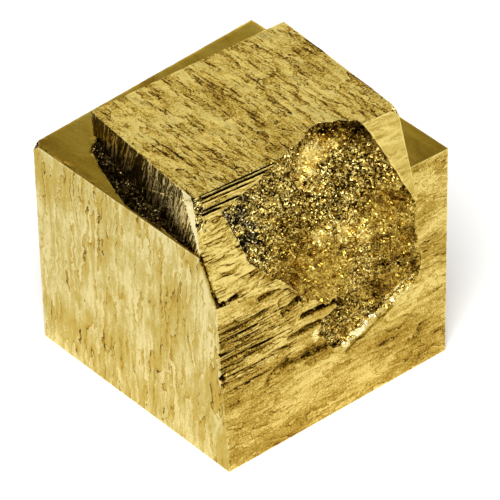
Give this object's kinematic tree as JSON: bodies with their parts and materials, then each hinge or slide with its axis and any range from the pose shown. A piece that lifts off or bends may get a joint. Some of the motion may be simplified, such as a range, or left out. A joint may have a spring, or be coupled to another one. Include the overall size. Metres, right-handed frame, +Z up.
{
  "type": "pyrite specimen",
  "caption": "Natural pyrite cube with a smaller tilted cube grown through its top and a rough broken patch on one side; rests on its flat base.",
  "frame": {"origin": "under the middle of the specimen, on the flat base face of the main crystal", "axes": "+Z up along the specimen's height; the main crystal's front upright edge points to -X -Y, and the broken patch is on the side that faces -Y"},
  "size_m": [0.0342, 0.035, 0.0401],
  "materials": {
    "pyrite": "pale brass-yellow metallic mineral, satin growth faces with fine striations, dull granular brown where it is broken"
  },
  "bodies": {
    "root": {"pyrite_crystals": "pyrite"}
  },
  "joints": []
}
